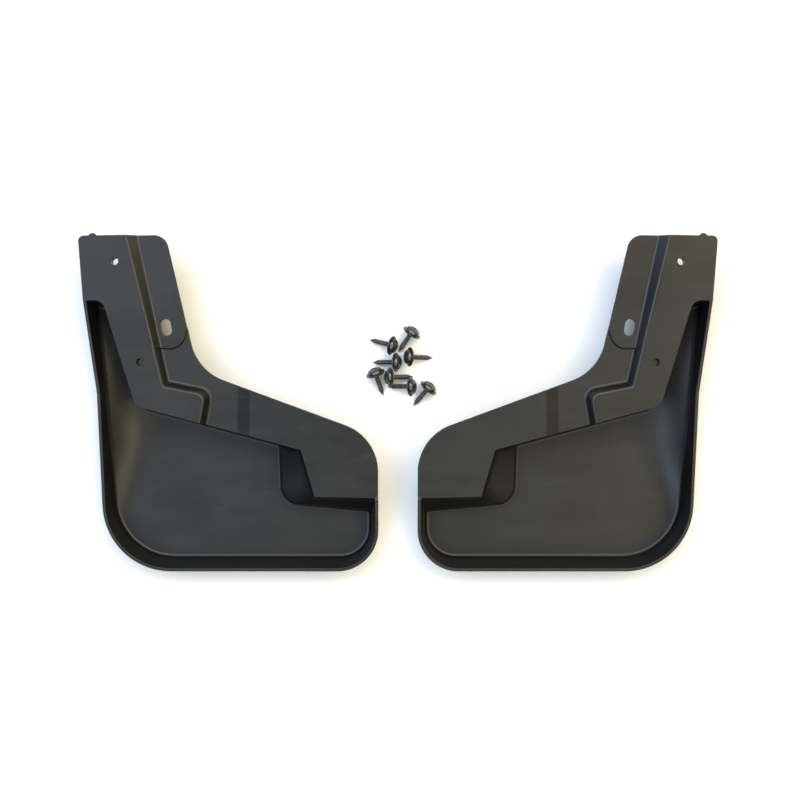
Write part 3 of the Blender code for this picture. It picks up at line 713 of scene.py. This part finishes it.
def screw_mesh():
    """One screw about its own axis, its washer face at height 0, in millimetres."""
    built = bmesh.new()
    rings = []
    for height, radii in screw_rows():
        ring = []
        for i, radius in enumerate(radii):
            turn = 2 * math.pi * i / SCREW_SIDES
            ring.append(built.verts.new((radius * math.cos(turn), radius * math.sin(turn), height)))
        rings.append(ring)
    crown, point = built.verts.new((0, 0, HEAD_HEIGHT)), built.verts.new((0, 0, -SHANK_LENGTH))
    for i in range(SCREW_SIDES):
        j = (i + 1) % SCREW_SIDES
        built.faces.new((crown, rings[0][i], rings[0][j]))
        built.faces.new((point, rings[-1][j], rings[-1][i]))
        for upper, lower in zip(rings, rings[1:]):
            built.faces.new((upper[i], lower[i], lower[j], upper[j]))
    bmesh.ops.recalc_face_normals(built, faces=built.faces)
    screw = from_bmesh("screw", built)
    for turn in (0, math.pi / 2):
        screw = combined(screw, recess_wing(turn), "DIFFERENCE")
    return screw


def recess_wing(turn):
    """One tapered wing of the cross recess."""
    wing = bmesh.new()
    bmesh.ops.create_cube(wing, size=1)
    for vert in wing.verts:
        taper = RECESS_TAPER if vert.co.z < 0 else 1
        vert.co.x *= RECESS_WIDTH * taper
        vert.co.y *= RECESS_LENGTH * taper
        vert.co.z = HEAD_HEIGHT - RECESS_DEPTH if vert.co.z < 0 else HEAD_HEIGHT + RECESS_OVERRUN
    bmesh.ops.bevel(wing, geom=wing.edges[:], offset=RECESS_ROUND, segments=2, profile=0.5, affect="EDGES")
    bmesh.ops.rotate(wing, matrix=Matrix.Rotation(turn, 3, "Z"), verts=wing.verts)
    return from_bmesh("wing", wing)


def washer_rim():
    """The (radius, height) steps over the washer's turned-down rim and down its side."""
    side = WASHER_TOP - WASHER_BOTTOM - 2 * WASHER_LIP
    rim = []
    for k in range(1, RIM_STEPS):
        share = k / RIM_STEPS
        radius = WASHER_FLAT + (WASHER_RADIUS - WASHER_FLAT) * math.sin(math.pi / 4 * share)
        rim.append((radius, WASHER_TOP - WASHER_LIP * share**2))
    for k in range(RIM_STEPS + 1):
        rim.append((WASHER_RADIUS, WASHER_TOP - WASHER_LIP - side * k / RIM_STEPS))
    return rim


def washer_mesh():
    """A captive washer, slightly turned down at its rim, in millimetres."""
    profile = [
        (WASHER_INNER, WASHER_TOP - WASHER_CHAMFER),
        (WASHER_INNER + WASHER_CHAMFER, WASHER_TOP),
        (WASHER_FLAT, WASHER_TOP),
        *washer_rim(),
        (WASHER_RADIUS - WASHER_HEEL, WASHER_BOTTOM),
        (WASHER_INNER + WASHER_CHAMFER, WASHER_BOTTOM),
        (WASHER_INNER, WASHER_BOTTOM + WASHER_CHAMFER),
    ]
    built = bmesh.new()
    rings = []
    for radius, height in profile:
        turns = [2 * math.pi * i / WASHER_SIDES for i in range(WASHER_SIDES)]
        rings.append([built.verts.new((radius * math.cos(t), radius * math.sin(t), height)) for t in turns])
    for upper, lower in zip(rings, rings[1:] + rings[:1]):
        for i in range(WASHER_SIDES):
            j = (i + 1) % WASHER_SIDES
            built.faces.new((upper[i], lower[i], lower[j], upper[j]))
    bmesh.ops.recalc_face_normals(built, faces=built.faces)
    return from_bmesh("washer", built)


def fastener(model, name, place, finish):
    """A copy of a screw or washer at its place, standing for its CAD node."""
    piece = add_object(name + "_detail", model.data.copy())
    piece.data.transform(place)
    weighted = piece.modifiers.new("weighted", "WEIGHTED_NORMAL")
    weighted.keep_sharp = True
    piece.data.materials.clear()
    piece.data.materials.append(finish)
    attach(piece, name)
    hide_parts(name)


def make_fasteners(steel, washer_steel):
    screw, washer = screw_mesh(), washer_mesh()
    for model in (screw, washer):
        model.data.transform(Matrix.Scale(MM, 4))
        model.data.shade_smooth()
        model.data.set_sharp_from_angle(angle=SCREW_SMOOTH)
    spins = [joint for joint in frame["joints"] if joint["name"].endswith("_spin")]
    for joint, roll in zip(spins, ROLLS):
        number = joint["child"].split("_")[-1]
        turn = Vector(joint["axis"]).to_track_quat("Z", "Y").to_matrix().to_4x4()
        place = Matrix.Translation(joint["pos_m"]) @ turn @ Matrix.Rotation(math.radians(roll), 4, "Z")
        fastener(screw, "screw_" + number, place, steel)
        fastener(washer, "washer_" + number, place, washer_steel)
    bpy.data.objects.remove(screw)
    bpy.data.objects.remove(washer)


# ------------------------------------------------------------ materials
PLASTIC_DARK, PLASTIC_LIGHT = (0.0030, 0.0030, 0.0032), (0.0052, 0.0052, 0.0052)
DUST, SCUFFED = (0.022, 0.021, 0.020), (0.011, 0.011, 0.011)
STRIP_MIDDLE, STRIP_HALF, STRIP_SOFT, STRIP_GLOSS = 126.8, 4.9, 0.6, 0.13  # mm, but for the gloss
STRIP_FADE = (PLATE_TOP - 2, PLATE_TOP - 1)
HOLLOW_FADE, HOLLOW_GRAIN = (26.0, 34.0), 0.03
STEEL_DARK, STEEL_BROWN = (0.060, 0.060, 0.062), (0.110, 0.075, 0.045)
STEEL_LIGHT, WASHER_LIGHT = (0.17, 0.17, 0.17), (0.12, 0.12, 0.12)
TABLE_COOL, TABLE_WHITE = (0.86, 0.86, 0.87), (0.88, 0.88, 0.88)
RANGE_SOCKETS = ("From Min", "From Max", "To Min", "To Max")


class Nodes:
    """A small helper that adds nodes to one material and links them."""

    def __init__(self, name):
        self.material = bpy.data.materials.new(name)
        self.material.use_nodes = True
        self.tree = self.material.node_tree
        self.shader = self.tree.nodes["Principled BSDF"]
        self.place = self.add("ShaderNodeTexCoord").outputs["Object"]

    def add(self, kind, **settings):
        node = self.tree.nodes.new(kind)
        for key, value in settings.items():
            setattr(node, key, value)
        return node

    def link(self, source, target):
        self.tree.links.new(source, target)

    def split(self):
        """The object's own coordinates, one output for each axis."""
        node = self.add("ShaderNodeSeparateXYZ")
        self.link(self.place, node.inputs["Vector"])
        return node.outputs

    def noise(self, scale, detail=2.0, stretch=(1, 1, 1), roughness=0.5):
        """A noise over the object, in features per metre."""
        mapping = self.add("ShaderNodeMapping")
        mapping.inputs["Scale"].default_value = stretch
        self.link(self.place, mapping.inputs["Vector"])
        node = self.add("ShaderNodeTexNoise")
        node.inputs["Scale"].default_value = scale
        node.inputs["Detail"].default_value = detail
        node.inputs["Roughness"].default_value = roughness
        self.link(mapping.outputs["Vector"], node.inputs["Vector"])
        return node.outputs["Fac"]

    def ramp(self, source, from_low, from_high, low, high):
        """A value carried from one range to another, held at the ends."""
        node = self.add("ShaderNodeMapRange")
        for name, value in zip(RANGE_SOCKETS, (from_low, from_high, low, high)):
            node.inputs[name].default_value = value
        self.link(source, node.inputs["Value"])
        return node.outputs["Result"]

    def math(self, operation, a, b=None):
        node = self.add("ShaderNodeMath", operation=operation)
        for k, value in enumerate((a, b)):
            if isinstance(value, (int, float)):
                node.inputs[k].default_value = value
            elif value is not None:
                self.link(value, node.inputs[k])
        return node.outputs["Value"]

    def mix(self, share, low, high):
        """A colour between two others."""
        node = self.add("ShaderNodeMix", data_type="RGBA")
        self.link(share, node.inputs[0])
        for socket, value in ((node.inputs[6], low), (node.inputs[7], high)):
            if isinstance(value, tuple):
                socket.default_value = (*value, 1)
            else:
                self.link(value, socket)
        return node.outputs[2]

    def bump(self, height, strength, distance, below=None):
        node = self.add("ShaderNodeBump")
        node.inputs["Strength"].default_value = strength
        node.inputs["Distance"].default_value = distance
        self.link(height, node.inputs["Height"])
        if below:
            self.link(below, node.inputs["Normal"])
        return node.outputs["Normal"]


def moulded_plastic():
    """Satin black moulded plastic: fine grain, faint flow marks, handling scuffs and dust."""
    made = Nodes("moulded_plastic")
    shader = made.shader
    cloud = made.noise(14.0, detail=3.0)
    flow = made.noise(26.0, detail=4.0, stretch=(0.35, 2.6, 1.0))
    grain = made.noise(2600.0, detail=2.0)
    pebble = made.noise(900.0, detail=2.0, roughness=0.6)
    speck = made.noise(420.0, detail=5.0, roughness=0.7)
    scuff = made.noise(95.0, detail=6.0, stretch=(0.25, 1.0, 1.0), roughness=0.72)
    tone = made.ramp(cloud, 0.35, 0.65, 0.0, 1.0)
    colour = made.mix(tone, PLASTIC_DARK, PLASTIC_LIGHT)
    dusty = made.ramp(speck, 0.62, 0.78, 0.0, 0.28)
    dusty = made.math("MULTIPLY", dusty, made.ramp(cloud, 0.3, 0.7, 0.3, 1.0))
    colour = made.mix(dusty, colour, DUST)
    scuffed = made.ramp(scuff, 0.60, 0.74, 0.0, 0.35)
    colour = made.mix(scuffed, colour, SCUFFED)
    made.link(colour, shader.inputs["Base Color"])
    rough = made.ramp(cloud, 0.3, 0.7, 0.34, 0.41)
    rough = made.math("ADD", rough, made.ramp(flow, 0.35, 0.7, -0.02, 0.03))
    rough = made.math("ADD", rough, made.ramp(scuff, 0.58, 0.74, 0.0, 0.10))
    rough = made.math("SUBTRACT", rough, gloss_strip(made))
    rough = made.math("ADD", rough, grained_hollows(made))
    made.link(rough, shader.inputs["Roughness"])
    waves = made.bump(flow, 0.25, 0.0006)
    pebbled = made.bump(pebble, 0.30, 0.00006, waves)
    made.link(made.bump(grain, 0.35, 0.00003, pebbled), shader.inputs["Normal"])
    shader.inputs["IOR"].default_value = 1.5
    return made.material


def grained_hollows(made):
    """The extra grain of the faces that lie well below the plates."""
    low, high = HOLLOW_FADE
    return made.ramp(made.split()["Z"], low * MM, high * MM, HOLLOW_GRAIN, 0.0)


def gloss_strip(made):
    """A narrow upright band on the plate that was left a little smoother by the mould."""
    axes = made.split()
    from_mirror = made.math("ABSOLUTE", axes["X"])
    off_middle = made.math("ABSOLUTE", made.math("SUBTRACT", from_mirror, STRIP_MIDDLE * MM))
    inner, outer = (STRIP_HALF - STRIP_SOFT) * MM, (STRIP_HALF + STRIP_SOFT) * MM
    low, high = STRIP_FADE
    on_plate = made.ramp(axes["Z"], low * MM, high * MM, 0.0, STRIP_GLOSS)
    return made.math("MULTIPLY", made.ramp(off_middle, inner, outer, 1.0, 0.0), on_plate)


def black_steel(name, light, rough_low, rough_high):
    """Blackened screw steel: a thin uneven finish with brown tinges and rubbed high spots."""
    made = Nodes(name)
    shader = made.shader
    mottle = made.noise(700.0, detail=4.0, roughness=0.6)
    broad = made.noise(160.0, detail=3.0)
    fine = made.noise(5200.0, detail=2.0)
    colour = made.mix(made.ramp(mottle, 0.35, 0.68, 0.0, 1.0), STEEL_DARK, light)
    colour = made.mix(made.ramp(broad, 0.52, 0.70, 0.0, 0.6), colour, STEEL_BROWN)
    made.link(colour, shader.inputs["Base Color"])
    made.link(made.ramp(mottle, 0.3, 0.7, rough_low, rough_high), shader.inputs["Roughness"])
    dented = made.bump(mottle, 0.25, 0.00004)
    made.link(made.bump(fine, 0.3, 0.00001, dented), shader.inputs["Normal"])
    shader.inputs["Metallic"].default_value = 0.9
    return made.material


def table_finish():
    """A plain white table with a very faint tooth."""
    made = Nodes("white_table")
    tooth = made.noise(260.0, detail=3.0)
    broad = made.noise(2.5, detail=2.0)
    colour = made.mix(made.ramp(broad, 0.3, 0.7, 0.0, 1.0), TABLE_COOL, TABLE_WHITE)
    made.link(colour, made.shader.inputs["Base Color"])
    made.link(made.ramp(tooth, 0.3, 0.7, 0.75, 0.85), made.shader.inputs["Roughness"])
    made.link(made.bump(tooth, 0.05, 0.0001), made.shader.inputs["Normal"])
    return made.material


# ------------------------------------------------------------ stage
CAMERA_PLACE = (0.0017, 0.00295, 1.1)
CAMERA_LENS = 58.2
TABLE_HALF, TABLE_DROP = 25.0, 0.0001
TENT_COOL, TENT_WARM = (0.80, 0.94, 1.14), (1.14, 1.02, 0.73)
TENT_BLEND = 0.07
TENT_SIDES = (-0.35, 0.35, 0.60, 1.30)  # the direction's share along +Y, and the share of light
TENT_SKIRT = (0.56, 0.82, 0.05, 1.0)  # upward share of the direction, and the share of light
TENT_OPENING = (0.86, 0.955, 4.5, 0.52)  # the same overhead, and the radiance


def smooth_range(tree, source, limits):
    """A value carried smoothly from one range to another."""
    node = tree.nodes.new("ShaderNodeMapRange")
    node.interpolation_type = "SMOOTHSTEP"
    for name, value in zip(RANGE_SOCKETS, limits):
        node.inputs[name].default_value = value
    tree.links.new(source, node.inputs["Value"])
    return node.outputs["Result"]


def light_tent():
    """A tent lit cool from -X, warm from +X and most from +Y, with a dim opening overhead."""
    world = bpy.data.worlds.new("studio")
    world.use_nodes = True
    tree = world.node_tree
    place = tree.nodes.new("ShaderNodeTexCoord")
    split = tree.nodes.new("ShaderNodeSeparateXYZ")
    tree.links.new(place.outputs["Generated"], split.inputs["Vector"])
    across = smooth_range(tree, split.outputs["X"], (-TENT_BLEND, TENT_BLEND, 0, 1))
    colour = tree.nodes.new("ShaderNodeMix")
    colour.data_type = "RGBA"
    colour.inputs[6].default_value = (*TENT_COOL, 1)
    colour.inputs[7].default_value = (*TENT_WARM, 1)
    tree.links.new(across, colour.inputs[0])
    background = tree.nodes["Background"]
    tree.links.new(colour.outputs[2], background.inputs["Color"])
    strength = smooth_range(tree, split.outputs["Y"], TENT_SIDES)
    for limits in (TENT_SKIRT, TENT_OPENING):
        product = tree.nodes.new("ShaderNodeMath")
        product.operation = "MULTIPLY"
        tree.links.new(strength, product.inputs[0])
        tree.links.new(smooth_range(tree, split.outputs["Z"], limits), product.inputs[1])
        strength = product.outputs["Value"]
    tree.links.new(strength, background.inputs["Strength"])
    return world


def make_stage():
    scene = bpy.context.scene
    scene.view_settings.view_transform = "Standard"
    built = bmesh.new()
    bmesh.ops.create_grid(built, x_segments=8, y_segments=8, size=TABLE_HALF)
    table = from_bmesh("table_top", built)
    table.location.z = -TABLE_DROP
    table.data.materials.append(table_finish())
    scene.world = light_tent()
    camera = bpy.data.objects.new("camera", bpy.data.cameras.new("camera"))
    scene.collection.objects.link(camera)
    camera.location = CAMERA_PLACE
    camera.data.lens = CAMERA_LENS
    scene.camera = camera


def write_sizes():
    bpy.context.view_layer.update()


def main():
    make_stage()
    plastic = moulded_plastic()
    moulding = flap_mesh()
    make_flap(moulding, "left_flap", -1, plastic)
    make_flap(moulding, "right_flap", 1, plastic)
    make_fasteners(
        black_steel("black_screw_steel", STEEL_LIGHT, rough_low=0.24, rough_high=0.38),
        black_steel("black_washer_steel", WASHER_LIGHT, rough_low=0.28, rough_high=0.42),
    )
    write_sizes()


main()
